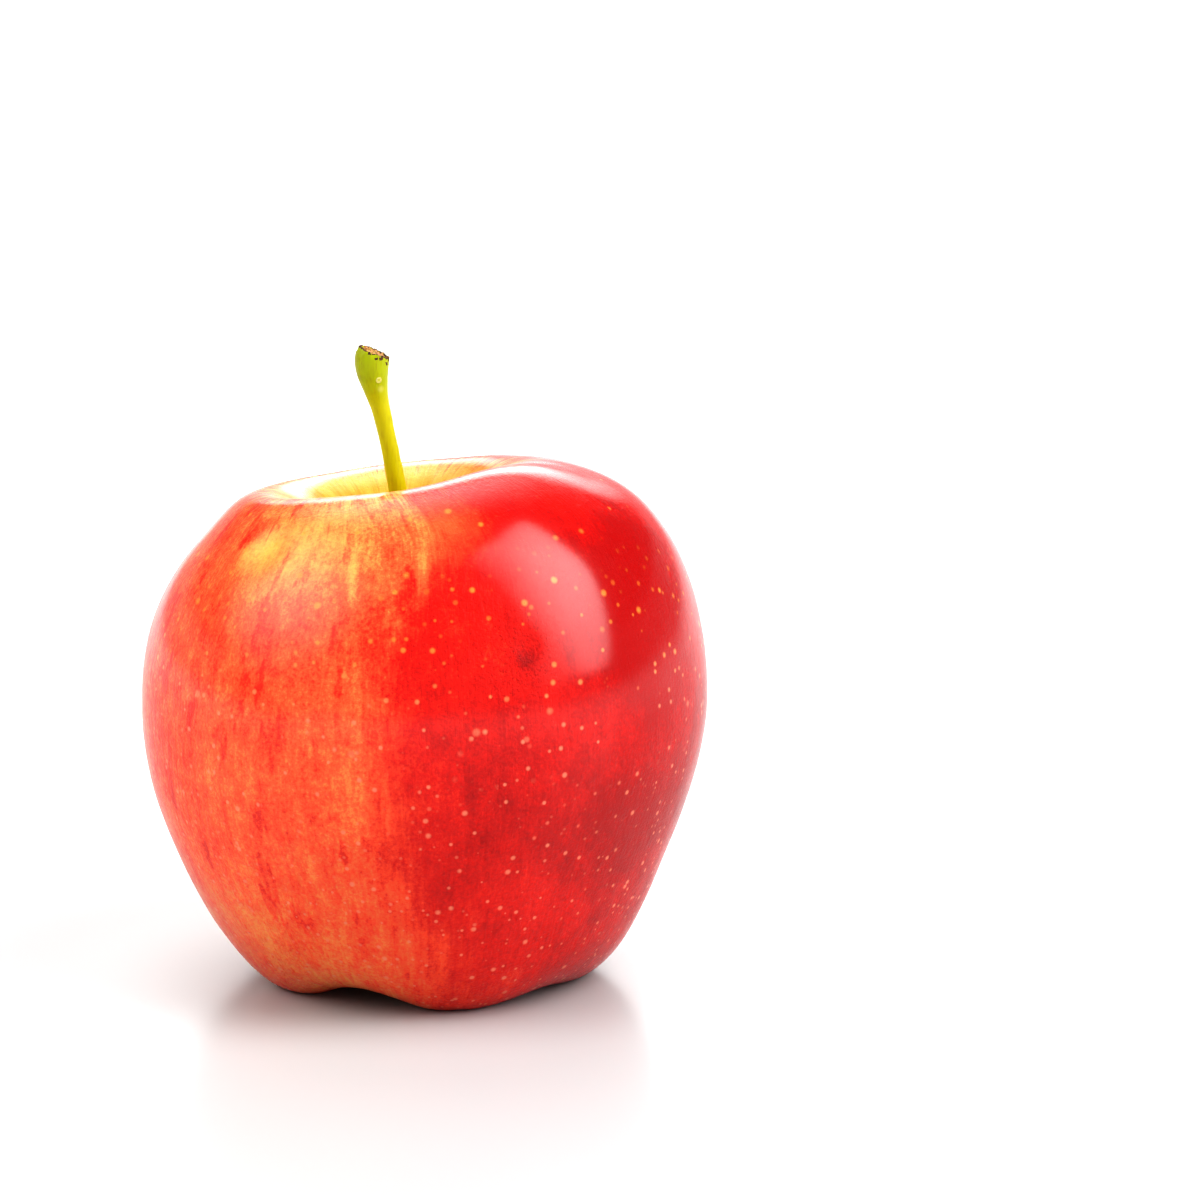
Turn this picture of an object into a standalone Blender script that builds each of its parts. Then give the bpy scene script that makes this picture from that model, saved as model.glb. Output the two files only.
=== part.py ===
"""A red apple: the fruit, its woody stem, and the dried flower remains in the basin underneath.

Metres, +Z up. The origin is on the ground under the middle of the fruit, and -Y is its front.
"""

from math import acos, atan2, cos, pi, radians, sin

import bmesh
import bpy
from mathutils import Matrix, Vector

MM = 0.001

# The fruit's mean outline in mm, as (radius, height) points that a smooth curve follows.
# It starts at the bottom of the stem cavity and ends at the top of the basin underneath.
STEM_CAVITY = [(1.4, 49.0), (3.6, 50.4), (6.2, 56.0), (10.0, 63.6)]
SHOULDER = [(16.5, 68.4), (24.4, 66.0), (31.8, 59.2), (36.6, 49.6)]
FLANK = [(38.1, 38.5), (36.9, 28.0), (33.2, 18.6), (29.6, 10.0)]
BASE = [(25.2, 2.6), (19.6, -1.8), (13.6, 0.0)]
BASIN = [(9.4, 4.6), (6.8, 8.8), (4.2, 11.4), (1.6, 11.8)]
OUTLINE = STEM_CAVITY + SHOULDER + FLANK + BASE + BASIN

# The five lobes of the base.
LOBES = 5
FIRST_LOBE = radians(-78)
LOBE_RING = 17.0  # radius of the ring of lobes, mm
LOBE_REACH = 15.0  # how far in and out from that ring the dips between them run, mm
LOBE_TOP = 18.0  # height at which the dips have faded out, mm
DIPS = [1.8, 2.4, 2.8, 3.0, 3.5]  # depth of the dip after each lobe, mm
RIB = 0.012  # how far the ribs above the lobes stand out, as a part of the radius
RIB_HEIGHT = 14.0
RIB_REACH = 24.0

# The top leans: its right and front shoulders stand higher.
LEAN_RIGHT = 2.3
LEAN_FRONT = 1.4
LEAN_FROM, LEAN_TO = 34.0, 62.0
CAVITY_SHIFT = -3.8  # the stem cavity lies left of the middle, its mouth most of all, mm
CAVITY_SHIFT_FROM, CAVITY_SHIFT_TO = 38.0, 62.0
BASE_SHIFT = -0.7  # the lower flank lies a little to the left, too, mm

SEGMENTS = 60
RINGS = 46

# The stem, as (x, y, z, radius) in mm, from the bottom of its cavity to the cut end.
STEM = [
    (-1.6, 0.1, 50.2, 1.5),
    (-2.0, 0.1, 55.0, 1.35),
    (-2.7, 0.0, 61.0, 1.3),
    (-3.6, 0.0, 66.0, 1.25),
    (-4.8, 0.0, 72.6, 1.15),
    (-5.9, 0.0, 77.2, 1.35),
    (-6.7, 0.0, 80.2, 1.85),
    (-6.95, 0.0, 82.4, 2.15),
    (-6.6, 0.0, 84.2, 1.9),
]
STEM_SIDES = 16
STEM_RESOLUTION = 3  # rings between two of its points

# The dried sepals hang in the basin, around the tuft of stamens.
SEPALS = 5
SEPAL_RING = 3.5  # distance of a sepal's foot from the axis, mm
SEPAL_TOP = 10.6  # height of its foot, mm
SEPAL_LENGTHS = [5.4, 5.0, 5.5, 4.8, 5.2]
SEPAL_WIDTH = 3.0
SEPAL_TIP_WIDTH = 0.5
SEPAL_THICKNESS = 0.4
SEPAL_CURL = [1.3, 0.7, 1.6, 1.0, 0.5]  # how far each tip turns out again, mm
FIRST_SEPAL = radians(-42)

STAMENS = 9
STAMENS_TOP = 11.3  # height of the tuft's foot, mm
STAMENS_LENGTH = 4.2
STAMENS_RADIUS = 1.5
STAMENS_TIP_RADIUS = 0.9
GROOVE = 0.7  # radius in the grooves between stamens, as a part of the tuft's own


def clear_scene():
    """Removes every object of the scene that is open."""
    for old in list(bpy.data.objects):
        bpy.data.objects.remove(old, do_unlink=True)


def make_material(name, colour, roughness, metallic=0.0):
    """A Principled material with one colour."""
    material = bpy.data.materials.new(name)
    material.use_nodes = True
    shader = material.node_tree.nodes["Principled BSDF"]
    shader.inputs["Base Color"].default_value = (*colour, 1.0)
    shader.inputs["Roughness"].default_value = roughness
    shader.inputs["Metallic"].default_value = metallic
    material.diffuse_color = (*colour, 1.0)
    return material


def add_object(name, data, material, collection):
    """Links a new object that shows this mesh or curve in this material."""
    data.materials.append(material)
    obj = bpy.data.objects.new(name, data)
    collection.objects.link(obj)
    return obj


def mesh_from(bm, name):
    """Turns a bmesh into a mesh that is shaded smooth, and frees the bmesh."""
    mesh = bpy.data.meshes.new(name)
    bm.to_mesh(mesh)
    bm.free()
    mesh.shade_smooth()
    return mesh


def smooth_step(value, low, high):
    """0 below low, 1 above high, and a smooth rise between them."""
    share = min(max((value - low) / (high - low), 0.0), 1.0)
    return share * share * (3 - 2 * share)


def bump(value, centre, half_width):
    """1 at the centre, and a smooth fall to 0 at half_width from it."""
    share = min(abs(value - centre) / half_width, 1.0)
    return (1 - share * share) ** 2


def outline_at(share):
    """(radius, height) on the fruit's mean outline, a uniform cubic B-spline, for a share from 0 to 1.

    The outline is mirrored across the axis at both ends, so it crosses the axis level.
    """
    points = [Vector(point) for point in OUTLINE]
    across = Matrix.Diagonal((-1, 1))
    start = [across @ points[1], across @ points[0]]
    end = [across @ points[-1], across @ points[-2]]
    points = start + points + end
    spans = len(OUTLINE) + 1
    along = 0.5 + share * (spans - 1)
    first = min(int(along), spans - 1)
    u = along - first
    weights = ((1 - u) ** 3, 3 * u**3 - 6 * u**2 + 4, 3 * (u + u**2 - u**3) + 1, u**3)
    return sum((weight / 6 * points[first + k] for k, weight in enumerate(weights)), Vector((0, 0)))


def skin_point(azimuth, radius, height):
    """A point of the skin, in mm, from the mean outline's radius and height at that azimuth."""
    lobes_on = (azimuth - FIRST_LOBE) / (2 * pi / LOBES)
    lobe_wave = cos(2 * pi * lobes_on)
    dip = DIPS[int(lobes_on % LOBES) % LOBES]
    fade = bump(radius, LOBE_RING, LOBE_REACH) * smooth_step(LOBE_TOP - height, 0, LOBE_TOP)
    lean = LEAN_RIGHT * cos(azimuth) - LEAN_FRONT * sin(azimuth)
    lean *= smooth_step(height, LEAN_FROM, LEAN_TO) * smooth_step(radius, 0, 20)
    z = height + lean + dip * fade * (1 - lobe_wave) / 2

    reach = radius * (1 + RIB * lobe_wave * bump(height, RIB_HEIGHT, RIB_REACH))
    x = reach * cos(azimuth)
    shift = CAVITY_SHIFT * smooth_step(height, CAVITY_SHIFT_FROM, CAVITY_SHIFT_TO)
    x += shift * smooth_step(30 - radius, 0, 14)
    x += BASE_SHIFT * bump(height, 20, 18)
    # The lobes are cut level with the ground, which gives each one a small flat to stand on.
    return Vector((x, reach * sin(azimuth), max(z, 0.0)))


def make_fruit(collection):
    """The fruit: a sphere's rings laid along the outline, and its meridians around the axis."""
    bm = bmesh.new()
    bmesh.ops.create_uvsphere(bm, u_segments=SEGMENTS, v_segments=RINGS, radius=1)
    for vert in bm.verts:
        share = acos(min(max(vert.co.z, -1.0), 1.0)) / pi
        radius, height = outline_at(share)
        vert.co = MM * skin_point(atan2(vert.co.y, vert.co.x), radius, height)
    bmesh.ops.recalc_face_normals(bm, faces=bm.faces)
    material = make_material("apple_skin", (0.60, 0.03, 0.02), 0.28)
    return add_object("fruit", mesh_from(bm, "fruit"), material, collection)


def make_stem(collection):
    """The stem: a round curve that thickens to a knob, cut off square to its end."""
    curve = bpy.data.curves.new("stem", "CURVE")
    curve.dimensions = "3D"
    curve.bevel_depth = MM
    curve.bevel_resolution = STEM_SIDES // 4 - 1
    curve.resolution_u = STEM_RESOLUTION
    curve.use_fill_caps = True
    spline = curve.splines.new("NURBS")
    spline.points.add(len(STEM) - 1)
    for point, (x, y, z, radius) in zip(spline.points, STEM):
        point.co = (x * MM, y * MM, z * MM, 1.0)
        point.radius = radius
    spline.order_u = 4
    spline.use_endpoint_u = True
    material = make_material("stem_bark", (0.42, 0.38, 0.04), 0.55)
    return add_object("stem", curve, material, collection)


def make_sepal(index, material, collection):
    """One dried sepal: a tapered, cupped strip that hangs from its foot and turns out at its tip."""
    across, along = 4, 6
    bm = bmesh.new()
    bmesh.ops.create_grid(bm, x_segments=across, y_segments=along, size=0.5)
    length = SEPAL_LENGTHS[index]
    for vert in bm.verts:
        side = 2 * vert.co.x
        down = vert.co.y + 0.5
        half_width = (SEPAL_WIDTH + (SEPAL_TIP_WIDTH - SEPAL_WIDTH) * down**1.5) / 2
        out = SEPAL_RING - 1.2 * sin(pi * down) - 0.35 * side**2 + SEPAL_CURL[index] * down**3
        vert.co = MM * Vector((out, side * half_width, SEPAL_TOP - length * down))
    bmesh.ops.recalc_face_normals(bm, faces=bm.faces)
    obj = add_object(f"sepal_{index + 1}", mesh_from(bm, "sepal"), material, collection)
    obj.rotation_euler.z = FIRST_SEPAL + index * 2 * pi / SEPALS
    wall = obj.modifiers.new("wall", "SOLIDIFY")
    wall.thickness = SEPAL_THICKNESS * MM
    wall.offset = 0
    return obj


def make_stamens(collection):
    """The tuft of dried stamens: a short cone with a groove between each two of them."""
    bm = bmesh.new()
    bmesh.ops.create_cone(
        bm,
        cap_ends=True,
        segments=2 * STAMENS,
        radius1=STAMENS_TIP_RADIUS,
        radius2=STAMENS_RADIUS,
        depth=STAMENS_LENGTH,
    )
    step = pi / STAMENS
    for vert in bm.verts:
        turn = round(atan2(vert.co.y, vert.co.x) / step)
        width = GROOVE if turn % 2 else 1.0
        vert.co = MM * Vector((vert.co.x * width, vert.co.y * width, vert.co.z))
    material = make_material("dried_stamens", (0.05, 0.03, 0.02), 0.9)
    obj = add_object("stamens", mesh_from(bm, "stamens"), material, collection)
    obj.location.z = MM * (STAMENS_TOP - STAMENS_LENGTH / 2)
    return obj


def main():
    """Builds the apple."""
    clear_scene()
    collection = bpy.data.collections.new("red_apple")
    bpy.context.scene.collection.children.link(collection)
    make_fruit(collection)
    make_stem(collection)
    dried_leaf = make_material("dried_sepals", (0.17, 0.11, 0.05), 0.85)
    for index in range(SEPALS):
        make_sepal(index, dried_leaf, collection)
    make_stamens(collection)


main()
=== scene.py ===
"""Looks of a red apple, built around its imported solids.

Metres, +Z up. The apple stands on the ground at the origin, and -Y is its front. The fruit keeps the
shape of its solid and gets a finer skin. The stem, the dried sepals and the stamens are modelled anew
in the places that the solids hold.
"""

from __future__ import annotations

import logging
import math
import random
from contextlib import contextmanager
from dataclasses import dataclass
from enum import Enum
from typing import Callable, Iterator, Union

import bmesh
import bpy
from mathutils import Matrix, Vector


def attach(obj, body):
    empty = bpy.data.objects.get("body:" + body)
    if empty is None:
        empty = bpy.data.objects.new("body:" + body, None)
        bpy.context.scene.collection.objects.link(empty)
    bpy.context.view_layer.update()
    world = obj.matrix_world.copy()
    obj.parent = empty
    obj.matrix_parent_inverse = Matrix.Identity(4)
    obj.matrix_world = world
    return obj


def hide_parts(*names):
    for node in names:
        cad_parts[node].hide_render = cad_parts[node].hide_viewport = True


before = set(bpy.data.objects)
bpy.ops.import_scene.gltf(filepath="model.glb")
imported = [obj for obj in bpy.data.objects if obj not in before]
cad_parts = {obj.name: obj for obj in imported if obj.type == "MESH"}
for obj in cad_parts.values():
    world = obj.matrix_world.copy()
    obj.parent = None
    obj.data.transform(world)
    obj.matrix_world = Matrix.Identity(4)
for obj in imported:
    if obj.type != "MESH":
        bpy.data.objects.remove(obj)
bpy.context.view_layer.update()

LOG = logging.getLogger("apple")
MM = 0.001
BODY = "root"

Triple = tuple[float, float, float]
Source = Union[float, tuple, "Value", bpy.types.NodeSocket]


# ---- Materials: a node tree that is written as expressions ----


@dataclass(frozen=True)
class Value:
    """A number that varies over a surface, with Python's operators on it.

    Args:
        graph: the node tree that it belongs to.
        socket: the socket that gives it.
    """

    graph: "Graph"
    socket: bpy.types.NodeSocket

    def maths(self, operation: str, *others: Source) -> "Value":
        """Adds a Math node that works on this value and the others."""
        inputs = dict(enumerate((self, *others)))
        return self.graph.value("ShaderNodeMath", {"operation": operation}, inputs)

    def __add__(self, other: Source) -> "Value":
        """Returns the sum."""
        return self.maths("ADD", other)

    __radd__ = __add__

    def __sub__(self, other: Source) -> "Value":
        """Returns the difference."""
        return self.maths("SUBTRACT", other)

    def __rsub__(self, other: Source) -> "Value":
        """Returns the difference, with this value taken off."""
        return self.graph.value("ShaderNodeMath", {"operation": "SUBTRACT"}, {0: other, 1: self})

    def __mul__(self, other: Source) -> "Value":
        """Returns the product."""
        return self.maths("MULTIPLY", other)

    __rmul__ = __mul__

    def __truediv__(self, other: Source) -> "Value":
        """Returns the quotient."""
        return self.maths("DIVIDE", other)

    def __pow__(self, other: Source) -> "Value":
        """Returns this value to a power."""
        return self.maths("POWER", other)

    def at_least(self, other: Source) -> "Value":
        """Returns the larger of the two."""
        return self.maths("MAXIMUM", other)

    def at_most(self, other: Source) -> "Value":
        """Returns the smaller of the two."""
        return self.maths("MINIMUM", other)

    def rise(self, low: Source, high: Source) -> "Value":
        """Returns a smooth rise from 0 where this value is low to 1 where it is high.

        Args:
            low: the value where the rise starts. It may be the larger one, which makes a fall.
            high: the value where the rise ends.

        Returns:
            The rise, from 0 to 1.
        """
        settings = {"interpolation_type": "SMOOTHSTEP"}
        inputs = {"Value": self, "From Min": low, "From Max": high}
        return self.graph.value("ShaderNodeMapRange", settings, inputs)


class Graph:
    """The node tree of one material or of the world, and the one place where its nodes are made."""

    def __init__(self, tree: bpy.types.NodeTree) -> None:
        """Takes over a node tree and empties it.

        Args:
            tree: the node tree.
        """
        self.tree = tree
        tree.nodes.clear()

    def node(self, kind: str, settings: dict | None = None, inputs: dict | None = None) -> bpy.types.Node:
        """Adds a node.

        Args:
            kind: the node's type.
            settings: its properties by name; "stops" holds a colour ramp's (position, colour) pairs.
            inputs: numbers, tuples, values or sockets, by the input's name or number.

        Returns:
            The new node.
        """
        made = self.tree.nodes.new(kind)
        for name, setting in (settings or {}).items():
            if name == "stops":
                self._set_stops(made, setting)
            else:
                setattr(made, name, setting)
        for key, source in (inputs or {}).items():
            self._feed(made.inputs[key], source)
        return made

    def _set_stops(self, ramp: bpy.types.Node, stops: list[tuple[float, Triple]]) -> None:
        """Gives a colour ramp these stops."""
        elements = ramp.color_ramp.elements
        while len(elements) < len(stops):
            elements.new(1.0)
        for element, (position, colour) in zip(elements, stops):
            element.position = position
            element.color = (*colour, 1.0)

    def _feed(self, socket: bpy.types.NodeSocket, source: Source) -> None:
        """Links a socket to its source, or sets its value."""
        if isinstance(source, Value):
            self.tree.links.new(source.socket, socket)
        elif isinstance(source, bpy.types.NodeSocket):
            self.tree.links.new(source, socket)
        elif socket.type == "RGBA":
            socket.default_value = (*source, 1.0)
        else:
            socket.default_value = source

    def value(self, kind: str, settings: dict | None = None, inputs: dict | None = None) -> Value:
        """Adds a node and returns its first output as a value."""
        return Value(self, self.node(kind, settings, inputs).outputs[0])

    def split(self, vector: bpy.types.NodeSocket) -> tuple[Value, Value, Value]:
        """Returns the three parts of a vector."""
        parts = self.node("ShaderNodeSeparateXYZ", inputs={0: vector}).outputs
        return Value(self, parts[0]), Value(self, parts[1]), Value(self, parts[2])

    def join(self, x: Source, y: Source, z: Source) -> bpy.types.NodeSocket:
        """Returns a vector of three parts."""
        return self.node("ShaderNodeCombineXYZ", inputs={0: x, 1: y, 2: z}).outputs[0]

    def vector_maths(self, operation: str, *sources: Source) -> bpy.types.Node:
        """Adds a Vector Math node."""
        return self.node("ShaderNodeVectorMath", {"operation": operation}, dict(enumerate(sources)))

    def millimetres(self) -> bpy.types.NodeSocket:
        """Returns the place on the object, in millimetres."""
        place = self.node("ShaderNodeTexCoord").outputs["Object"]
        return self.vector_maths("MULTIPLY", place, (1 / MM,) * 3).outputs[0]

    def noise(self, place: bpy.types.NodeSocket, scale: float, detail: float, rough: float) -> Value:
        """Returns noise around a middle of 0.

        Args:
            place: where it is read.
            scale: how many bumps there are per unit of place.
            detail: how many finer layers it has.
            rough: how strong the finer layers are.

        Returns:
            The noise, mostly from -0.5 to 0.5.
        """
        inputs = {"Vector": place, "Scale": scale, "Detail": detail, "Roughness": rough}
        return self.value("ShaderNodeTexNoise", None, inputs) * 2.0 - 1.0

    def mix(self, share: Source, first: Source, second: Source) -> bpy.types.NodeSocket:
        """Returns a colour between two, at share from the first to the second."""
        made = self.node("ShaderNodeMix", {"data_type": "RGBA"}, {"Factor": share})
        self._feed(made.inputs[6], first)
        self._feed(made.inputs[7], second)
        return made.outputs[2]

    def ramp(self, share: Value, stops: list[tuple[float, Triple]]) -> bpy.types.NodeSocket:
        """Returns the colour that a ramp has at share."""
        return self.node("ShaderNodeValToRGB", {"stops": stops}, {0: share}).outputs[0]

    def bump(self, height: Value, depth: float) -> bpy.types.NodeSocket:
        """Returns the normal of a surface with this relief.

        Args:
            height: the relief, where 1 stands out by depth.
            depth: in metres.

        Returns:
            The normal.
        """
        inputs = {"Height": height, "Distance": depth, "Strength": 1.0}
        return self.node("ShaderNodeBump", None, inputs).outputs[0]

    def surface(self, inputs: dict) -> None:
        """Adds the Principled shader with these inputs, and shows it."""
        shader = self.node("ShaderNodeBsdfPrincipled", None, inputs)
        self.node("ShaderNodeOutputMaterial", None, {"Surface": shader.outputs[0]})


def new_material(name: str) -> tuple[bpy.types.Material, Graph]:
    """Makes a material with an empty node tree.

    Args:
        name: its name.

    Returns:
        The material and its graph.
    """
    material = bpy.data.materials.new(name)
    material.use_nodes = True
    return material, Graph(material.node_tree)


@dataclass(frozen=True)
class Patch:
    """A soft round area of the skin, where its colour differs.

    Args:
        place: its middle, in mm.
        reach: its radius, in mm.
        amount: how much more red it is; less than 0 bares the yellow ground.
        stretch: how much longer it is up and down, and front to back, than from side to side.
    """

    place: Triple
    reach: float
    amount: float
    stretch: float = 1.0


@dataclass(frozen=True)
class Speckle:
    """One size of the skin's pale dots.

    Args:
        spacing: size of the cell that one dot sits in, in mm.
        size: radius of a dot, in mm.
        share: the part of the places that hold a dot.
        low: height where the dots are gone, in mm.
        high: height where they are all there, in mm. It may be the lower one.
        strength: how pale they are.
    """

    spacing: float
    size: float
    share: float
    low: float
    high: float
    strength: float


class SkinPattern:
    """The places and noises that the skin's pattern is drawn with.

    The streaks run from the stem cavity to the basin, as they do on the fruit.
    """

    def __init__(self, graph: Graph, cavity_shift: float) -> None:
        """Sets up the noises.

        Args:
            graph: the skin's node tree.
            cavity_shift: how far the cavity's middle is from the fruit's, along X in mm.
        """
        self.graph = graph
        self.place = graph.millimetres()
        x, y, self.z = graph.split(self.place)
        out = (x * x + y * y) ** 0.5
        across = x - self.z.rise(38, 62) * out.rise(30, 16) * cavity_shift
        self.radius = ((across * across + y * y) ** 0.5).at_least(0.01)
        self.east = across / self.radius
        self.north = y / self.radius
        self.polar = self.radius.maths("ARCTAN2", self.z - 35.0)
        self.streaks = self.drawn_noise(11, 3.2, 3.0, 0.55)
        self.fine_streaks = self.drawn_noise(34, 6.0, 2.0, 0.6)
        self.threads = self.drawn_noise(80, 11.0, 2.0, 0.6)
        self.clouds = graph.noise(self.place, 0.07, 3.0, 0.55)
        self.mottle = graph.noise(self.place, 0.45, 3.0, 0.6)
        self.grain = graph.noise(self.place, 2.1, 2.0, 0.75)
        self.inward = self.radius + self.streaks * 4.5 + self.fine_streaks * 3.5 + self.threads * 1.5
        self.in_cavity = self.z.rise(40, 52) * self.inward.rise(21.5, 10.5)

    def drawn_noise(self, turns: float, steps: float, detail: float, rough: float) -> Value:
        """Returns noise that is drawn out from pole to pole.

        Args:
            turns: how fine it is round the fruit.
            steps: how fine it is from pole to pole.
            detail: how many finer layers it has.
            rough: how strong the finer layers are.

        Returns:
            The noise, mostly from -0.5 to 0.5.
        """
        place = self.graph.join(self.east * turns, self.north * turns, self.polar * steps)
        return self.graph.noise(place, 1.0, detail, rough)


@dataclass(frozen=True)
class SkinFinish:
    """The waxed skin: a yellow ground under a red blush, with streaks, grain and pale dots.

    Args:
        cavity ... crimson: the skin's colours, from the stem cavity to the deepest red.
        dot: the colour of the pale dots, and high_dot near the shoulder.
        left_blush: how red the left side is. The next three fields add to it in their places.
        left_limit: the most that the blush reaches on the left; right_limit is added on the right.
        edge_azimuth: where the edge of the blush runs from pole to pole.
        cavity_shift: how far the cavity's middle is from the fruit's, along X in mm.
        relief: how far the skin's fine relief stands out, in metres.
        patches: areas that are redder or yellower than the rest.
        scuff_and_glare: a rubbed area with a coarser relief.
        speckles: the sizes of dots.
    """

    cavity: Triple = (0.80, 0.52, 0.09)
    # The ochre and the russet darken the stem cavity: partly the skin's own colour, partly painted shade
    # in the recess.
    ochre_and_shade: Triple = (0.48, 0.23, 0.02)
    ground: Triple = (0.95, 0.51, 0.12)
    peach: Triple = (0.95, 0.34, 0.09)
    orange: Triple = (0.94, 0.15, 0.045)
    coral: Triple = (0.93, 0.062, 0.020)
    red: Triple = (0.71, 0.010, 0.005)
    deep: Triple = (0.50, 0.004, 0.003)
    crimson: Triple = (0.33, 0.002, 0.003)
    dot: Triple = (0.95, 0.32, 0.19)
    high_dot: Triple = (0.93, 0.36, 0.06)
    russet_and_shade: Triple = (0.26, 0.11, 0.015)
    left_blush: float = 0.61
    right_blush: float = 0.205
    far_right_blush: float = 0.08
    base_blush: float = -0.03
    left_limit: float = 0.78
    right_limit: float = 0.19
    edge_azimuth: float = math.radians(-97)
    cavity_shift: float = -3.8
    roughness: float = 0.42
    specular: float = 0.06
    coat: float = 0.66
    coat_roughness: float = 0.15
    relief: float = 0.10 * MM
    patches: tuple[Patch, ...] = (
        Patch((-20.0, -22.0, 62.0), 13.0, -0.16),
        Patch((-21.0, -19.5, 61.8), 4.8, -0.24),
        Patch((-22.2, -17.4, 63.6), 3.6, 0.34),
        Patch((-10.0, -24.0, 64.0), 14.0, -0.18),
        Patch((3.0, -25.0, 65.0), 9.0, -0.18),
        Patch((-8.3, -28.5, 60.0), 1.2, -0.22, 6.0),
        Patch((0.8, -30.0, 60.5), 1.3, -0.22, 5.0),
        Patch((-1.2, -31.0, 58.5), 1.6, 0.14, 4.0),
        Patch((-22.0, -22.0, 12.0), 12.0, -0.12),
        Patch((-12.0, -20.0, 3.0), 9.0, -0.10),
        Patch((-35.0, -6.0, 50.0), 14.0, 0.12),
        Patch((-33.0, -14.0, 36.0), 10.0, 0.08, 1.5),
        Patch((14.0, -34.0, 50.0), 2.2, 0.12),
        Patch((28.0, -20.0, 54.0), 18.0, 0.19),
        Patch((34.0, -14.0, 30.0), 28.0, 0.09),
        Patch((10.0, -34.0, 44.0), 8.0, 0.05, 0.7),
        Patch((8.0, -35.0, 34.0), 9.0, 0.03, 1.4),
        Patch((-18.0, 30.0, 44.0), 24.0, -0.42, 1.2),
        Patch((26.0, 24.0, 30.0), 14.0, -0.18, 1.3),
    )
    scuff_and_glare: Patch = Patch((14.0, -34.0, 51.0), 8.0, 1.0)
    speckles: tuple[Speckle, ...] = (
        Speckle(3.3, 0.56, 0.75, 26.0, 50.0, 0.66),
        Speckle(2.0, 0.42, 0.85, 66.0, 46.0, 0.72),
        Speckle(1.5, 0.30, 0.85, 40.0, 12.0, 0.70),
    )

    def material(self) -> bpy.types.Material:
        """Makes the skin's material.

        Returns:
            The material.
        """
        material, graph = new_material("apple_skin")
        pattern = SkinPattern(graph, self.cavity_shift)
        dots = self._speckles(pattern)
        high = pattern.z.rise(38, 54)
        colour = graph.ramp(self._blush(pattern), self._stops())
        colour = self._cavity_lines(pattern, colour)
        colour = graph.mix(dots * 0.9, colour, graph.mix(high, self.dot, self.high_dot))
        graph.surface(
            {
                "Base Color": colour,
                "Roughness": self.roughness + pattern.mottle * 0.06,
                "Coat Weight": self.coat,
                "Coat Roughness": self.coat_roughness,
                "Specular IOR Level": self.specular,
                "Normal": graph.bump(self._relief(pattern, dots), self.relief),
            }
        )
        return material

    def _stops(self) -> list[tuple[float, Triple]]:
        """Returns the skin's colours, from the bare ground to the deepest blush."""
        return [
            (0.0, self.cavity),
            (0.18, self.ground),
            (0.38, self.peach),
            (0.55, self.orange),
            (0.70, self.coral),
            (0.82, self.red),
            (0.91, self.deep),
            (1.0, self.crimson),
        ]

    def _blush(self, pattern: SkinPattern) -> Value:
        """Lays the blush: full on the right, and broken into streaks on the left of its edge.

        Args:
            pattern: the skin's noises.

        Returns:
            How red the skin is, from 0 to 1.
        """
        z, streaks, fine, threads = pattern.z, pattern.streaks, pattern.fine_streaks, pattern.threads
        edge = self.edge_azimuth
        side = pattern.north * math.cos(edge) - pattern.east * math.sin(edge)
        side = side + streaks * 0.09 + fine * 0.05 + threads * 0.03
        side = side - (z.rise(48, 63) + z.rise(24, 4)) * 0.16
        softer = z.rise(36, 6) * 0.11
        right = side.rise(-0.10 - softer, softer + 0.12)
        blush = right * self.right_blush + side.rise(0.10, 0.75) * self.far_right_blush
        blush = blush + self.left_blush + z.rise(30, 6) * self.base_blush + pattern.clouds * 0.11
        broken = 1.0 - right * 0.75
        dashes = pattern.drawn_noise(14, 4.4, 2.0, 0.6).rise(0.13, 0.40)
        blush = blush + (streaks * 0.12 + fine * 0.10 + dashes * 0.15 + threads * 0.04) * broken
        blush = blush + (pattern.mottle * 0.15 + pattern.grain * 0.23) * (1.0 - right * 0.60)
        for patch in self.patches:
            blush = blush + self._patch(pattern, patch) * patch.amount
        blush = blush.at_most(right * self.right_limit + self.left_limit)

        # The red fades out into the stem cavity and the basin underneath.
        in_basin = z.rise(22, 14) * pattern.inward.rise(17, 7)
        return blush - pattern.in_cavity * 0.75 - in_basin * 0.55

    def _cavity_lines(self, pattern: SkinPattern, colour: bpy.types.NodeSocket) -> bpy.types.NodeSocket:
        """Turns the cavity's wall ochre in streaks towards its floor, with russet at the stem's foot.
        Both are partly the skin's own colour and partly painted shade deep in the cavity.

        Args:
            pattern: the skin's noises.
            colour: the skin's colour so far.

        Returns:
            The colour.
        """
        lines = (pattern.fine_streaks + pattern.threads * 0.6).rise(-0.3, 0.45)
        # The ochre grows stronger towards the cavity's floor: painted shade in the recess, over the
        # wall's own ochre streaks.
        depth = (pattern.inward + pattern.streaks * 6.0).rise(19, 7)
        ochre_and_shade = pattern.in_cavity * (depth * 0.48 + lines * (depth * 0.3 + 0.22))
        colour = pattern.graph.mix(ochre_and_shade, colour, self.ochre_and_shade)
        # Russet brown at the stem's foot: partly the skin's own russet, partly painted shade at the
        # bottom of the cavity.
        russet_and_shade = pattern.z.rise(58, 50) * pattern.z.rise(40, 49) * pattern.inward.rise(9, 3)
        return pattern.graph.mix(russet_and_shade * 0.6, colour, self.russet_and_shade)

    def _relief(self, pattern: SkinPattern, dots: Value) -> Value:
        """Returns the skin's fine relief, which is coarse at a scuff on the right.

        Args:
            pattern: the skin's noises.
            dots: the mask of the pale dots.

        Returns:
            The relief's height.
        """
        scuff_and_glare = self._patch(pattern, self.scuff_and_glare)
        grain = pattern.grain * (scuff_and_glare * 2.5 + 0.8)
        return grain + pattern.mottle * 1.6 + dots * -0.5 + pattern.threads * 0.7

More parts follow.
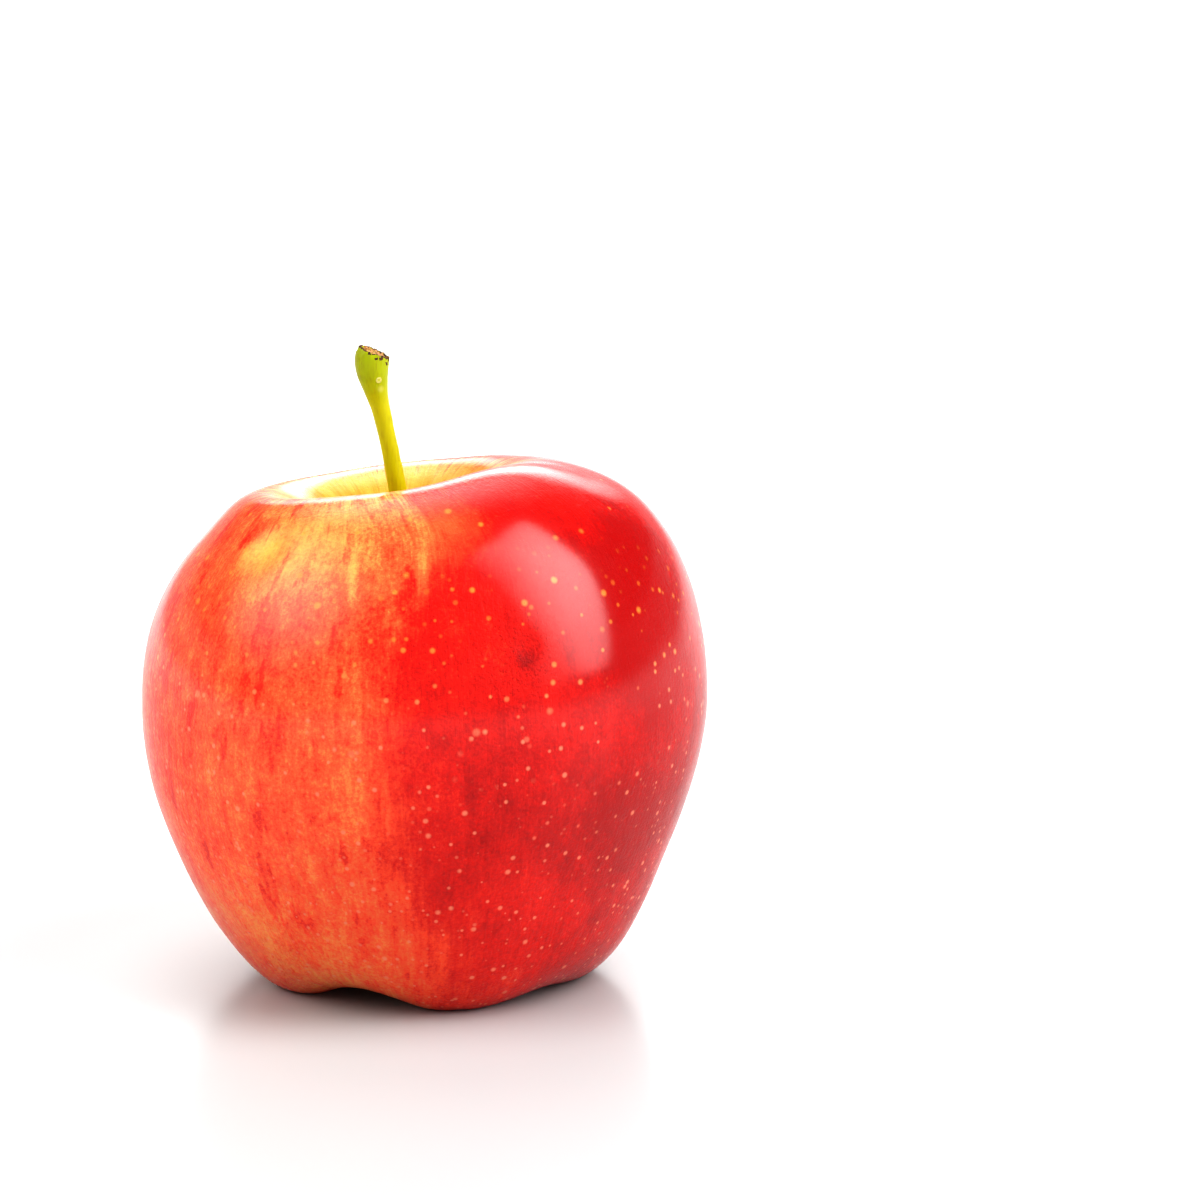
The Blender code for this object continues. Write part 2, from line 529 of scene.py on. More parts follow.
    def _patch(self, pattern: SkinPattern, patch: Patch) -> Value:
        """Returns a soft mask: 1 in the middle of a patch, and 0 from its reach on."""
        graph = pattern.graph
        narrow = 1 / patch.stretch
        away = graph.vector_maths("SUBTRACT", pattern.place, patch.place).outputs[0]
        away = graph.vector_maths("MULTIPLY", away, (1, narrow, narrow)).outputs[0]
        distance = Value(graph, graph.vector_maths("LENGTH", away).outputs["Value"])
        return distance.rise(patch.reach, 0)

    def _speckles(self, pattern: SkinPattern) -> Value:
        """Returns the mask of all pale dots: 1 on a dot, and 0 between the dots."""
        graph = pattern.graph
        total = None
        for speckle in self.speckles:
            cells = graph.node(
                "ShaderNodeTexVoronoi",
                {"feature": "F1"},
                {"Vector": pattern.place, "Scale": 1 / speckle.spacing, "Randomness": 0.9},
            )
            distance = Value(graph, cells.outputs["Distance"]) * speckle.spacing
            chance, size_draw, _ = graph.split(cells.outputs["Color"])
            size = (size_draw * 0.6 + 0.7) * speckle.size
            dot = (distance / size).rise(1.0, 0.30) * chance.rise(speckle.share + 0.01, speckle.share)
            dot = dot * pattern.z.rise(speckle.low, speckle.high) * speckle.strength
            total = dot if total is None else total.at_least(dot)
        return total


@dataclass(frozen=True)
class BarkFinish:
    """The stem's smooth green bark, with a pale painted glare just under its scar ring."""

    low: Triple = (0.52, 0.41, 0.001)
    middle: Triple = (0.49, 0.47, 0.001)
    knob: Triple = (0.36, 0.42, 0.002)
    brown: Triple = (0.20, 0.08, 0.012)
    scar: Triple = (0.75, 0.70, 0.30)
    scar_place: Triple = (-5.75, -1.9, 80.3)
    glare_place: Triple = (-5.5, -1.6, 79.1)

    def material(self) -> bpy.types.Material:
        """Makes the bark's material.

        Returns:
            The material.
        """
        material, graph = new_material("stem_bark")
        place = graph.millimetres()
        x, _, z = graph.split(place)
        long_place = graph.vector_maths("MULTIPLY", place, (3.2, 3.2, 0.35)).outputs[0]
        fibres = graph.noise(long_place, 1.0, 3.0, 0.6)
        blotches = graph.noise(place, 0.9, 3.0, 0.6)
        height = z + blotches * 2.0
        colour = graph.mix(height.rise(62, 70), self.low, self.middle)
        colour = graph.mix(height.rise(76, 81), colour, self.knob)
        colour = graph.mix((fibres + 0.1).rise(0.0, 0.7) * 0.25, colour, self.brown)
        singed = (0.0 - x + blotches).rise(7.6, 9.4) * z.rise(76, 80)
        colour = graph.mix(singed * 0.45, colour, self.brown)
        ring = self._away(graph, place, self.scar_place)
        ring = ring.rise(0.50, 0.36) * ring.rise(0.08, 0.26)
        # A pale blob just under the scar ring is a painted glare: a highlight streak on the stem, painted
        # in the scar's pale colour.
        scuff_and_glare = self._away(graph, place, self.glare_place).rise(0.7, 0.1)
        colour = graph.mix((ring * 0.6).at_least(scuff_and_glare * 0.28), colour, self.scar)
        relief = fibres * 0.6 + ring + blotches * 0.3
        graph.surface(
            {
                "Base Color": colour,
                "Roughness": 0.34 + fibres * 0.10,
                "Specular IOR Level": 0.22,
                "Normal": graph.bump(relief, 0.00006),
            }
        )
        return material

    def _away(self, graph: Graph, place: bpy.types.NodeSocket, spot: Triple) -> Value:
        """Returns how far a place is from a spot, in mm."""
        return Value(graph, graph.vector_maths("DISTANCE", place, spot).outputs["Value"])


@dataclass(frozen=True)
class DryFinish:
    """A dry brown plant part: a sepal, a stamen or torn wood.

    Args:
        name: the material's name.
        dark: the colour of its hollows.
        light: the colour of its ridges.
        fibre: how many fibres there are per mm across.
        relief: how far they stand out, in metres.
        roughness: how matt it is.
    """

    name: str
    dark: Triple
    light: Triple
    fibre: float
    relief: float
    roughness: float = 0.85

    def material(self) -> bpy.types.Material:
        """Makes the material.

        Returns:
            The material.
        """
        material, graph = new_material(self.name)
        place = graph.millimetres()
        drawn = graph.vector_maths("MULTIPLY", place, (1.0, 1.0, 0.3)).outputs[0]
        fibres = graph.noise(drawn, self.fibre, 3.0, 0.65)
        stains = graph.noise(place, 0.8, 2.0, 0.6)
        share = (fibres * 1.1 + stains * 0.8 + 0.5).rise(0.0, 1.0)
        graph.surface(
            {
                "Base Color": graph.mix(share, self.dark, self.light),
                "Roughness": self.roughness + fibres * 0.1,
                "Normal": graph.bump(fibres, self.relief),
            }
        )
        return material


# ---- Modelling: the steps that every piece is made with ----


class Part(Enum):
    """What a selection in edit mode is made of."""

    VERTS = "VERT"
    EDGES = "EDGE"
    FACES = "FACE"


def deselect_all() -> None:
    """Leaves no object selected."""
    bpy.ops.object.select_all(action="DESELECT")


def pick(obj: bpy.types.Object) -> None:
    """Makes an object the only one selected, and the active one."""
    deselect_all()
    obj.select_set(True)
    bpy.context.view_layer.objects.active = obj


@contextmanager
def editing(obj: bpy.types.Object) -> Iterator[bpy.types.Object]:
    """Opens an object in edit mode with nothing selected, and closes it again."""
    pick(obj)
    bpy.ops.object.mode_set(mode="EDIT")
    bpy.ops.mesh.select_all(action="DESELECT")
    yield obj
    bpy.ops.object.mode_set(mode="OBJECT")


def select_where(obj: bpy.types.Object, part: Part, test: Callable[[object], bool]) -> None:
    """Selects the parts of a mesh in edit mode that pass a test, and nothing else.

    Args:
        obj: the object in edit mode.
        part: what is selected.
        test: takes a vertex, an edge or a face.
    """
    bpy.ops.mesh.select_mode(type=part.value)
    bpy.ops.mesh.select_all(action="DESELECT")
    bm = bmesh.from_edit_mesh(obj.data)
    members = {Part.VERTS: bm.verts, Part.EDGES: bm.edges, Part.FACES: bm.faces}[part]
    for member in [member for member in members if test(member)]:
        member.select_set(True)
    bm.select_flush_mode()
    bmesh.update_edit_mesh(obj.data)


def apply_modifier(obj: bpy.types.Object, kind: str, **settings: object) -> None:
    """Adds a modifier to an object and applies it.

    Args:
        obj: the object.
        kind: the modifier's type.
        **settings: its properties.
    """
    pick(obj)
    modifier = obj.modifiers.new(kind.lower(), kind)
    for name, setting in settings.items():
        setattr(modifier, name, setting)
    bpy.ops.object.modifier_apply(modifier=modifier.name)


def subdivide(obj: bpy.types.Object, levels: int) -> None:
    """Rounds an object by this many steps of subdivision."""
    apply_modifier(obj, "SUBSURF", levels=levels, render_levels=levels)


def roughen(obj: bpy.types.Object, texture: bpy.types.Texture, height: float) -> None:
    """Raises and lowers an object's faces by a texture.

    Args:
        obj: the object.
        texture: the texture, read at the object's own places.
        height: from the lowest place to the highest, in metres.
    """
    apply_modifier(
        obj, "DISPLACE", texture=texture, strength=height, mid_level=0.5, texture_coords="LOCAL"
    )


def settle(obj: bpy.types.Object) -> None:
    """Puts an object's place, turn and size into its mesh."""
    pick(obj)
    bpy.ops.object.transform_apply(location=True, rotation=True, scale=True)


def smooth(obj: bpy.types.Object, sharp_over: float = 60.0) -> None:
    """Shades an object smooth, but for edges sharper than this angle in degrees."""
    pick(obj)
    bpy.ops.object.shade_smooth_by_angle(angle=math.radians(sharp_over))


def face_outwards(obj: bpy.types.Object) -> None:
    """Turns all faces of a closed shape outwards."""
    with editing(obj):
        bpy.ops.mesh.select_all(action="SELECT")
        bpy.ops.mesh.normals_make_consistent(inside=False)


def dress(obj: bpy.types.Object, *materials: bpy.types.Material) -> None:
    """Gives an object these materials, in place of those it has."""
    obj.data.materials.clear()
    for material in materials:
        obj.data.materials.append(material)


def join(first: bpy.types.Object, others: list[bpy.types.Object]) -> bpy.types.Object:
    """Joins objects into the first one, and returns it."""
    pick(first)
    for other in others:
        other.select_set(True)
    bpy.ops.object.join()
    return first


def clouds(name: str, size: float) -> bpy.types.Texture:
    """Makes a soft cloud texture for a Displace modifier.

    Args:
        name: its name.
        size: size of a cloud, in metres.

    Returns:
        The texture.
    """
    texture = bpy.data.textures.new(name, "CLOUDS")
    texture.noise_scale = size
    texture.noise_depth = 2
    return texture


# ---- The fruit ----


@dataclass(frozen=True)
class Dent:
    """A shallow hollow in the skin.

    Args:
        place: a point near its middle, in mm.
        reach: its radius, in mm.
        depth: in mm; less than 0 raises the skin.
    """

    place: Triple
    reach: float
    depth: float


@dataclass
class Fruit:
    """The fruit, with its stem cavity and basin: its solid, subdivided, dented and dressed."""

    finish: SkinFinish = SkinFinish()
    subdivisions: int = 2
    waviness: float = 0.6 * MM
    wave_length: float = 22 * MM
    flat_height: float = 0.03 * MM
    dents: tuple[Dent, ...] = (
        Dent((14.0, -33.0, 51.0), 3.2, 0.16),
        Dent((11.0, -13.0, 68.8), 15.0, -0.9),
        Dent((-20.0, -21.0, 62.5), 5.0, 0.40),
        Dent((-28.0, 16.0, 55.0), 8.0, 0.40),
        Dent((20.0, 26.0, 40.0), 9.0, 0.45),
    )

    def build(self) -> bpy.types.Object:
        """Builds the fruit.

        Returns:
            The piece.
        """
        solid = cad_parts["fruit"]
        fruit = bpy.data.objects.new("apple_fruit", solid.data.copy())
        bpy.context.scene.collection.objects.link(fruit)
        with editing(fruit):
            bpy.ops.mesh.select_all(action="SELECT")
            bpy.ops.mesh.remove_doubles(threshold=0.01 * MM)
            bpy.ops.mesh.tris_convert_to_quads(face_threshold=math.pi, shape_threshold=math.pi)
        subdivide(fruit, self.subdivisions)
        roughen(fruit, clouds("skin_waves", self.wave_length), self.waviness)
        for dent in self.dents:
            self._press(fruit, dent)
        with editing(fruit):
            select_where(fruit, Part.VERTS, lambda vert: vert.co.z < self.flat_height)
            bpy.ops.transform.resize(value=(1, 1, 0), center_override=(0, 0, 0))
        smooth(fruit, 180)
        dress(fruit, self.finish.material())
        return fruit

    def _press(self, fruit: bpy.types.Object, dent: Dent) -> None:
        """Presses a dent into the skin.

        Args:
            fruit: the fruit.
            dent: the dent.
        """
        middle = Vector(dent.place) * MM
        nearest = min(fruit.data.vertices, key=lambda vert: (vert.co - middle).length)
        push = nearest.normal * (-dent.depth * MM)
        wanted = nearest.index
        with editing(fruit):
            select_where(fruit, Part.VERTS, lambda vert: vert.index == wanted)
            bpy.ops.transform.translate(
                value=push,
                use_proportional_edit=True,
                proportional_edit_falloff="SMOOTH",
                proportional_size=dent.reach * MM,
            )


# ---- The stem ----


@dataclass
class Stem:
    """The stem: rings drawn up along its line, cut off at a slant, with a torn end.

    Args:
        bark, cork, wood: the finishes of the stem, of the cut's rim and of the cut itself.
        sides: how many sides each ring has before it is rounded.
        cut_place: the middle of the cut, in mm.
        cut_slope: how far the cut leans to the right.
        cut_depth, cut_radius: how far from its middle the cut is torn.
        rim_radius, wood_radius: where the corky rim ends, and where the wood does.
        fibres: how many torn fibres stand on the cut.
        seed: picks the tear and the fibres.
    """

    bark: BarkFinish = BarkFinish()
    cork: DryFinish = DryFinish("corky_rim", (0.02, 0.008, 0.004), (0.16, 0.07, 0.02), 2.5, 0.08 * MM)
    wood: DryFinish = DryFinish("torn_wood", (0.30, 0.12, 0.03), (0.80, 0.48, 0.20), 3.5, 0.1 * MM)
    sides: int = 16
    # (x, y, z, radius) in mm, from inside the cavity's floor to above the cut.
    rings: tuple[tuple[float, float, float, float], ...] = (
        (-1.6, 0.1, 48.6, 1.9),
        (-1.7, 0.1, 50.4, 1.55),
        (-2.0, 0.1, 55.0, 1.35),
        (-2.7, 0.0, 61.0, 1.30),
        (-3.6, 0.0, 66.0, 1.27),
        (-4.5, 0.0, 71.0, 1.18),
        (-5.4, 0.0, 75.2, 1.22),
        (-6.05, 0.0, 77.6, 1.42),
        (-6.55, 0.0, 79.6, 1.90),
        (-6.80, 0.0, 81.4, 2.28),
        (-6.80, 0.0, 83.0, 2.42),
        (-6.55, 0.0, 84.5, 2.05),
        (-6.30, 0.0, 86.0, 1.30),
    )
    cut_place: Triple = (-6.50, 0.0, 83.75)
    cut_slope: float = math.radians(22)
    cut_depth: float = 0.9 * MM
    cut_radius: float = 2.7 * MM
    rim_radius: float = 2.6 * MM
    wood_radius: float = 1.72 * MM
    # (share of the radius that is left, rise in mm) of each step inwards over the cut.
    torn_rings: tuple[tuple[float, float], ...] = (
        (0.97, 0.12),
        (0.86, 0.02),
        (0.92, -0.30),
        (0.84, 0.10),
        (0.80, 0.16),
        (0.70, -0.04),
        (0.55, 0.14),
        (0.40, 0.05),
    )
    fibres: int = 16
    seed: int = 4

    def build(self) -> bpy.types.Object:
        """Builds the stem.

        Returns:
            The piece.
        """
        stem = self._draw_up()
        self._cut(stem)
        self._tear(stem)
        dress(stem, self.bark.material(), self.cork.material(), self.wood.material())
        self._bare_the_wood(stem)
        stem = self._fray(stem)
        roughen(stem, clouds("bark_waves", 1.6 * MM), 0.16 * MM)
        smooth(stem, 50)
        return stem

    def _draw_up(self) -> bpy.types.Object:
        """Extrudes the stem ring by ring, and rounds it.

        Returns:
            The stem, still with a square end.
        """
        x, y, z, radius = self.rings[0]
        deselect_all()
        bpy.ops.mesh.primitive_circle_add(
            vertices=self.sides, radius=radius * MM, fill_type="NGON", location=(x * MM, y * MM, z * MM)
        )
        stem = bpy.context.object
        stem.name = "apple_stem"
        settle(stem)
        with editing(stem):
            bpy.ops.mesh.select_all(action="SELECT")
            for start, end in zip(self.rings, self.rings[1:]):
                step = Vector(end[:3]) - Vector(start[:3])
                bpy.ops.mesh.extrude_region_move(TRANSFORM_OT_translate={"value": step * MM})
                share = end[3] / start[3]
                bpy.ops.transform.resize(value=(share,) * 3, center_override=Vector(end[:3]) * MM)
        face_outwards(stem)
        subdivide(stem, 2)
        return stem

    @property
    def slant(self) -> Vector:
        """The direction that the cut faces: up, and to the right."""
        return Vector((math.sin(self.cut_slope), 0, math.cos(self.cut_slope)))

    def _cut(self, stem: bpy.types.Object) -> None:
        """Cuts the end off at a slant, down to the right."""
        with editing(stem):
            bpy.ops.mesh.select_all(action="SELECT")
            bpy.ops.mesh.bisect(
                plane_co=Vector(self.cut_place) * MM, plane_no=self.slant, use_fill=True, clear_outer=True
            )

    def _tear(self, stem: bpy.types.Object) -> None:
        """Gives the cut a raised rim of bark round torn wood."""
        place = Vector(self.cut_place) * MM
        with editing(stem):

            def is_cut(face: bmesh.types.BMFace) -> bool:
                """Tells whether a face is the flat end that the cut left."""
                return len(face.verts) > 8 and face.calc_center_median().z > 80 * MM

            select_where(stem, Part.FACES, is_cut)
            for share, rise in self.torn_rings:
                move = {"value": self.slant * rise * MM}
                bpy.ops.mesh.extrude_region_move(TRANSFORM_OT_translate=move)
                bpy.ops.transform.resize(value=(share,) * 3, center_override=place)
            bpy.ops.mesh.poke()

            def in_tear(vert: bmesh.types.BMVert) -> bool:
                """Tells whether a vertex lies in the cut."""
                away = vert.co - place
                return abs(away.dot(self.slant)) < self.cut_depth and away.length < self.cut_radius

            select_where(stem, Part.VERTS, in_tear)
            bpy.ops.transform.vertex_random(offset=0.11 * MM, uniform=0.4, normal=0.0, seed=self.seed)

    def _bare_the_wood(self, stem: bpy.types.Object) -> None:
        """Gives the cut's rim the cork's material, and what is inside it the wood's."""
        place = Vector(self.cut_place) * MM
        for polygon in stem.data.polygons:
            away = polygon.center - place
            height = away.dot(self.slant)
            across = (away - self.slant * height).length
            faces_up = polygon.normal.dot(self.slant) > 0.35
            if faces_up and abs(height) < self.cut_depth and across < self.rim_radius:
                polygon.material_index = 2 if across < self.wood_radius else 1

    def _fray(self, stem: bpy.types.Object) -> bpy.types.Object:
        """Sets torn fibres on the cut, and joins them to the stem.

        Args:
            stem: the stem.

        Returns:
            The stem with its fibres.
        """
        draw = random.Random(self.seed)
        fibres = []
        for _ in range(self.fibres):
            turn, out = draw.uniform(0, math.tau), draw.uniform(0.1, 1.6)
            across = Vector((-self.slant.z, 0, self.slant.x))
            foot = Vector(self.cut_place) + across * (out * math.cos(turn) + 0.25)
            foot += Vector((0, out * math.sin(turn), 0)) - self.slant * 0.3
            length = draw.uniform(0.5, 0.9) + 0.25 * math.cos(turn)
            lean = (draw.uniform(-0.35, 0.35), draw.uniform(-0.35, 0.35), 0)
            deselect_all()
            bpy.ops.mesh.primitive_cone_add(
                vertices=5,
                radius1=draw.uniform(0.10, 0.22) * MM,
                depth=length * MM,
                location=(foot + self.slant * length / 2) * MM,
                rotation=lean,
            )
            fibre = bpy.context.object
            settle(fibre)
            dress(fibre, stem.data.materials[2])
            fibres.append(fibre)
        return join(stem, fibres)


# ---- The dried flower underneath ----


@dataclass
class Calyx:
    """The dried sepals and stamens in the basin.

    Args:
        papery, thready: the finishes of the sepals and of the stamens.
        sepals, threads: how many of each there are.
        first_azimuth: the direction of the first sepal.
        foot_radius, foot_height: where the sepals' feet are, in mm.
        sepal_width: in mm, at the foot.
        seed: picks the lengths and the curls.
    """

    papery: DryFinish = DryFinish("dried_sepals", (0.05, 0.03, 0.015), (0.36, 0.25, 0.13), 1.6, 0.1 * MM)
    thready: DryFinish = DryFinish(
        "dried_stamens", (0.012, 0.008, 0.006), (0.10, 0.06, 0.03), 3.0, 0.05 * MM
    )
    sepals: int = 5
    first_azimuth: float = math.radians(-42)
    foot_radius: float = 3.6
    foot_height: float = 11.0
    sepal_width: float = 4.2
    # How much of its width a sepal keeps at each step down.
    taper: tuple[float, ...] = (0.96, 0.86, 0.76, 0.62, 0.42)
    threads: int = 16
    # How much of its width a stamen keeps at each step down: it ends in a knob.
    thread_widths: tuple[float, ...] = (0.9, 0.9, 0.9, 2.1, 0.9, 0.3)
    seed: int = 11

    def build_sepals(self) -> list[bpy.types.Object]:
        """Builds the sepals, each with its own length and curl.

        Returns:
            The pieces, in the order of their solids.
        """
        draw = random.Random(self.seed)
        papery = self.papery.material()
        made = []
        for index in range(self.sepals):
            length = draw.uniform(5.6, 6.8)
            curl = draw.uniform(0.3, 1.5)
            sepal = self._sepal(f"sepal_{index + 1}_leaf", length, curl, index)
            sepal.rotation_euler.z = self.first_azimuth + index * math.tau / self.sepals
            settle(sepal)
            dress(sepal, papery)
            made.append(sepal)
        return made

    def _sepal(self, name: str, length: float, curl: float, index: int) -> bpy.types.Object:
        """Extrudes one sepal down from its foot, on +X.

        Args:
            name: the piece's name.
            length: in mm.
            curl: how far the tip turns out, in mm.
            index: picks its creases.

        Returns:
            The piece.
        """
        steps = len(self.taper) + 1
        deselect_all()
        bpy.ops.mesh.primitive_grid_add(x_subdivisions=1, y_subdivisions=4, size=1)
        sepal = bpy.context.object
        sepal.name = name
        first = length / steps
        sepal.rotation_euler.y = math.radians(90)
        sepal.scale = (first * MM, self.sepal_width * MM, 1)
        sepal.location = (self.foot_radius * MM, 0, (self.foot_height - first / 2) * MM)
        settle(sepal)
        with editing(sepal):
            lowest = min(vert.co.z for vert in bmesh.from_edit_mesh(sepal.data).verts)
            select_where(
                sepal, Part.EDGES, lambda edge: all(vert.co.z < lowest + 0.01 * MM for vert in edge.verts)
            )
            middle = Vector((self.foot_radius, 0, self.foot_height - first)) * MM
            for step in range(1, steps):
                share = step / (steps - 1)
                out = -0.5 * (1 - share) + curl * share**2 * 0.6
                move = Vector((out, 0, -first)) * MM
                bpy.ops.mesh.extrude_region_move(TRANSFORM_OT_translate={"value": move})
                middle += move
                narrow = self.taper[step - 1]
                bpy.ops.transform.resize(value=(1, narrow, 1), center_override=middle)

            def along_middle(vert: bmesh.types.BMVert) -> bool:
                """Tells whether a vertex lies on the midrib."""
                return abs(vert.co.y) < 0.1 * MM

            select_where(sepal, Part.VERTS, along_middle)
            bpy.ops.transform.translate(value=(0.45 * MM, 0, 0))
        apply_modifier(sepal, "SOLIDIFY", thickness=0.35 * MM, offset=0)
        subdivide(sepal, 2)
        roughen(sepal, clouds(f"creases_{index}", (1.3 + 0.2 * index) * MM), 0.5 * MM)
        smooth(sepal, 70)
        return sepal

    def build_stamens(self) -> bpy.types.Object:
        """Builds the tuft of stamens as one piece of many threads.

        Returns:
            The piece.
        """
        draw = random.Random(self.seed + 1)
        threads = []
        for _ in range(self.threads):
            turn = draw.uniform(0, math.tau)
            foot = draw.uniform(0.3, 1.5)
            threads.append(self._thread(turn, foot, draw.uniform(3.4, 5.2), draw.uniform(-0.3, 0.9)))
        tuft = join(threads[0], threads[1:])
        tuft.name = "stamen_tuft"
        smooth(tuft)
        dress(tuft, self.thready.material())
        return tuft

    def _thread(self, turn: float, foot: float, length: float, lean: float) -> bpy.types.Object:
        """Makes one stamen: a bent thread with a knob at its end.

        Args:
            turn: its azimuth.
            foot: how far its foot is from the axis, in mm.
            length: in mm.
            lean: how far its end leans out, in mm.

        Returns:
            The thread.
        """
        deselect_all()
        start = Vector((foot * math.cos(turn), foot * math.sin(turn), 12.0)) * MM
        bpy.ops.mesh.primitive_circle_add(vertices=6, radius=0.14 * MM, fill_type="NGON", location=start)
        thread = bpy.context.object
        settle(thread)
        out = Vector((math.cos(turn), math.sin(turn), 0))
        place = start.copy()
        with editing(thread):
            bpy.ops.mesh.select_all(action="SELECT")
            for step, width in enumerate(self.thread_widths):
                drop = length / 4 if step < 3 else 0.28
                move = (out * lean * (0.12 * step) + Vector((0, 0, -drop))) * MM
                bpy.ops.mesh.extrude_region_move(TRANSFORM_OT_translate={"value": move})
                place += move
                bpy.ops.transform.resize(value=(width,) * 3, center_override=place)
        face_outwards(thread)
        subdivide(thread, 1)
        return thread


# ---- The studio ----


@dataclass(frozen=True)
class Softbox:
    """A soft rectangular light that faces the fruit, brightest at one spot.

    Args:
        name: its name.
        azimuth: its direction from the fruit in degrees, from +X towards +Y.
        elevation: its height over the horizon in degrees.
        distance: in metres.
        width: in metres.
        height: in metres.
        power: in watts.
        spot: where it is brightest, as shares of its width and height.
        reach: how far the bright spot reaches, as a share of its size.
    """

    name: str
    azimuth: float
    elevation: float
    distance: float
    width: float
    height: float
    power: float
    spot: tuple[float, float] = (0.5, 0.5)
    reach: float = 0.6


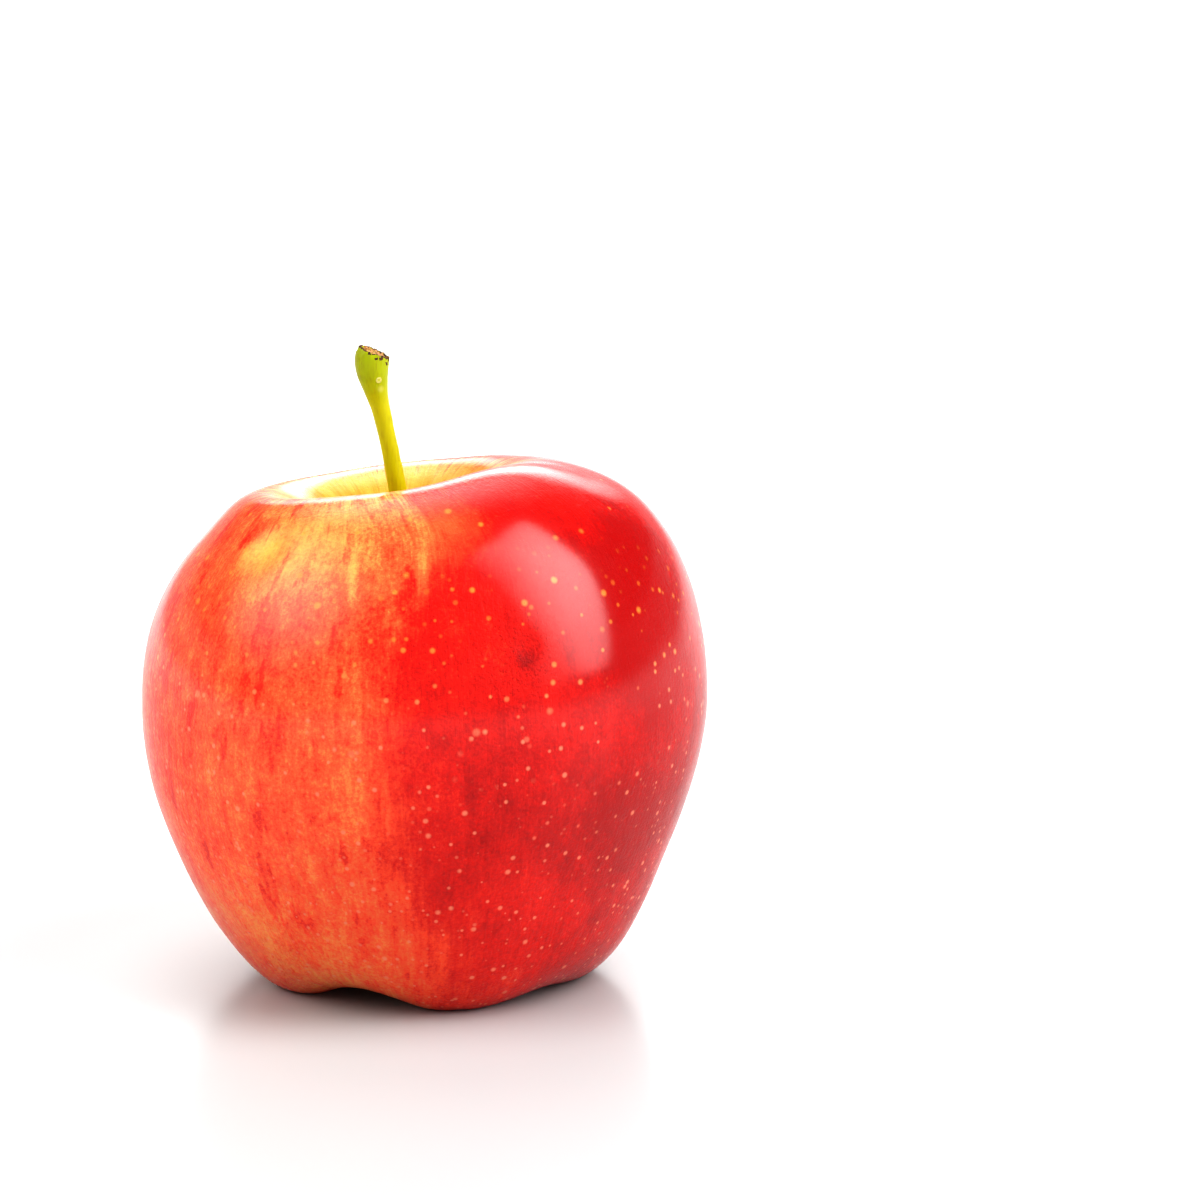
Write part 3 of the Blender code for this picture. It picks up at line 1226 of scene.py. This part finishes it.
@dataclass
class Studio:
    """The pale floor, the white surroundings, the soft lights and the camera.

    Args:
        aim: the point that the lights face.
        floor_size: the floor's side, in metres.
        camera_aim: the point in the middle of the picture.
        camera_elevation, camera_distance, camera_lens: where the camera is, and its lens in mm.
        softboxes: the lights.
    """

    aim: Triple = (0.0, 0.0, 0.04)
    floor_size: float = 12.0
    camera_aim: Triple = (0.02318, 0.0, 0.0505)
    camera_elevation: float = math.radians(12)
    camera_distance: float = 0.75
    camera_lens: float = 169.9
    softboxes: tuple[Softbox, ...] = (
        Softbox("key", -24, 39, 0.9, 0.61, 1.10, 16.8, (0.78, 0.52), 1.0),
        Softbox("fill", -165, 38, 1.0, 1.5, 1.1, 19.0, (0.5, 0.5), 0.55),
        Softbox("top", 102, 60, 1.0, 1.1, 0.9, 9.0, (0.5, 0.5), 0.60),
        Softbox("back", 88, 26, 1.0, 0.7, 0.5, 6.5, (0.5, 0.5), 0.70),
    )

    def build(self) -> None:
        """Sets up the studio."""
        self._floor()
        self._world()
        for softbox in self.softboxes:
            self._light(softbox)
        self._camera()
        settings = bpy.context.scene.view_settings
        settings.view_transform = "Standard"
        settings.look = "High Contrast"

    def _floor(self) -> None:
        """Lays the glossy white floor, which glows: painted light, with less glow just round the apple's
        foot as a painted contact shadow.
        """
        deselect_all()
        bpy.ops.mesh.primitive_plane_add(size=self.floor_size)
        floor = bpy.context.object
        floor.name = "floor"
        material, graph = new_material("white_table_painted_glow")
        place = graph.node("ShaderNodeTexCoord").outputs["Object"]
        away = Value(graph, graph.vector_maths("LENGTH", place).outputs["Value"])
        # The floor's glow is painted light that brightens the floor and the fruit's base. It rises away
        # from the apple, and the weak glow right at its foot keeps a painted contact shadow.
        glow = away.rise(0.020, 0.045) * 0.13 + away.rise(0.04, 0.6) * 0.70
        graph.surface(
            {
                "Base Color": (0.445, 0.467, 0.467),
                "Roughness": 0.28,
                "IOR": 1.25,
                "Emission Color": graph.join(glow, glow, glow),
                "Emission Strength": 1.0,
            }
        )
        dress(floor, material)

    def _world(self) -> None:
        """Lights the surroundings: white where the camera sees them, and brightest behind."""
        world = bpy.data.worlds.new("studio")
        bpy.context.scene.world = world
        world.use_nodes = True
        graph = Graph(world.node_tree)
        ray = graph.node("ShaderNodeLightPath").outputs["Is Camera Ray"]
        direction = graph.node("ShaderNodeTexCoord").outputs["Generated"]
        right, back, up = graph.split(direction)
        low = up.rise(0.26, 0.14) * back.rise(-0.3, 0.3) * (0.5 - right.rise(0.1, 0.8) * 0.26)
        glow = low + back.rise(0.1, -0.6) * (0.42 - up.rise(0.1, 0.6) * 0.16) + 0.08
        seen = Value(graph, ray)
        strength = seen * 1.0 + (1.0 - seen) * glow
        background = graph.node("ShaderNodeBackground", None, {"Color": (1, 1, 1), "Strength": strength})
        graph.node("ShaderNodeOutputWorld", None, {"Surface": background.outputs[0]})

    def _light(self, softbox: Softbox) -> None:
        """Hangs one softbox.

        Args:
            softbox: the softbox.
        """
        light = bpy.data.lights.new(softbox.name, "AREA")
        light.shape = "RECTANGLE"
        light.size = softbox.width
        light.size_y = softbox.height
        light.energy = softbox.power
        lamp = bpy.data.objects.new(softbox.name, light)
        bpy.context.scene.collection.objects.link(lamp)
        azimuth, elevation = math.radians(softbox.azimuth), math.radians(softbox.elevation)
        away = Vector(
            (
                math.cos(azimuth) * math.cos(elevation),
                math.sin(azimuth) * math.cos(elevation),
                math.sin(elevation),
            )
        )
        lamp.location = Vector(self.aim) + away * softbox.distance
        lamp.rotation_euler = away.to_track_quat("Z", "Y").to_euler()
        lamp.visible_camera = False
        light.use_nodes = True
        graph = Graph(light.node_tree)
        place = graph.node("ShaderNodeNewGeometry").outputs["Parametric"]
        from_spot = graph.vector_maths("DISTANCE", place, (*softbox.spot, 0.0)).outputs["Value"]
        glow = Value(graph, from_spot).rise(softbox.reach, 0) + 0.02
        emission = graph.node("ShaderNodeEmission", None, {"Color": (1, 1, 1), "Strength": glow})
        graph.node("ShaderNodeOutputLight", None, {"Surface": emission.outputs[0]})

    def _camera(self) -> None:
        """Places the camera in front, a little above the fruit."""
        data = bpy.data.cameras.new("camera")
        data.lens = self.camera_lens
        camera = bpy.data.objects.new("camera", data)
        bpy.context.scene.collection.objects.link(camera)
        tilt = self.camera_elevation
        away = Vector((0, -math.cos(tilt), math.sin(tilt)))
        camera.location = Vector(self.camera_aim) + away * self.camera_distance
        camera.rotation_euler = (math.pi / 2 - tilt, 0, 0)
        bpy.context.scene.camera = camera


# ---- The apple ----


def place_piece(piece: bpy.types.Object, slot: str, *nodes: str) -> None:
    """Lets a piece stand for its solids, and reports it.

    Args:
        piece: the finished piece.
        slot: a material slot of the record; it is not used.
        *nodes: the solids that it stands for.
    """
    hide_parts(*nodes)
    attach(piece, BODY)
    LOG.info("%s: %d faces, stands for %s", piece.name, len(piece.data.polygons), ", ".join(nodes))


def main() -> None:
    """Builds the apple and its studio."""
    logging.basicConfig(level=logging.INFO, format="%(name)s: %(message)s")
    place_piece(Fruit().build(), "skin", "fruit")
    place_piece(Stem().build(), "stem", "stem")

    calyx = Calyx()
    for index, sepal in enumerate(calyx.build_sepals()):
        place_piece(sepal, "sepals", f"sepal_{index + 1}")
    place_piece(calyx.build_stamens(), "stamens", "stamens")

    Studio().build()
    bpy.context.view_layer.update()


if __name__ == "__main__":
    main()
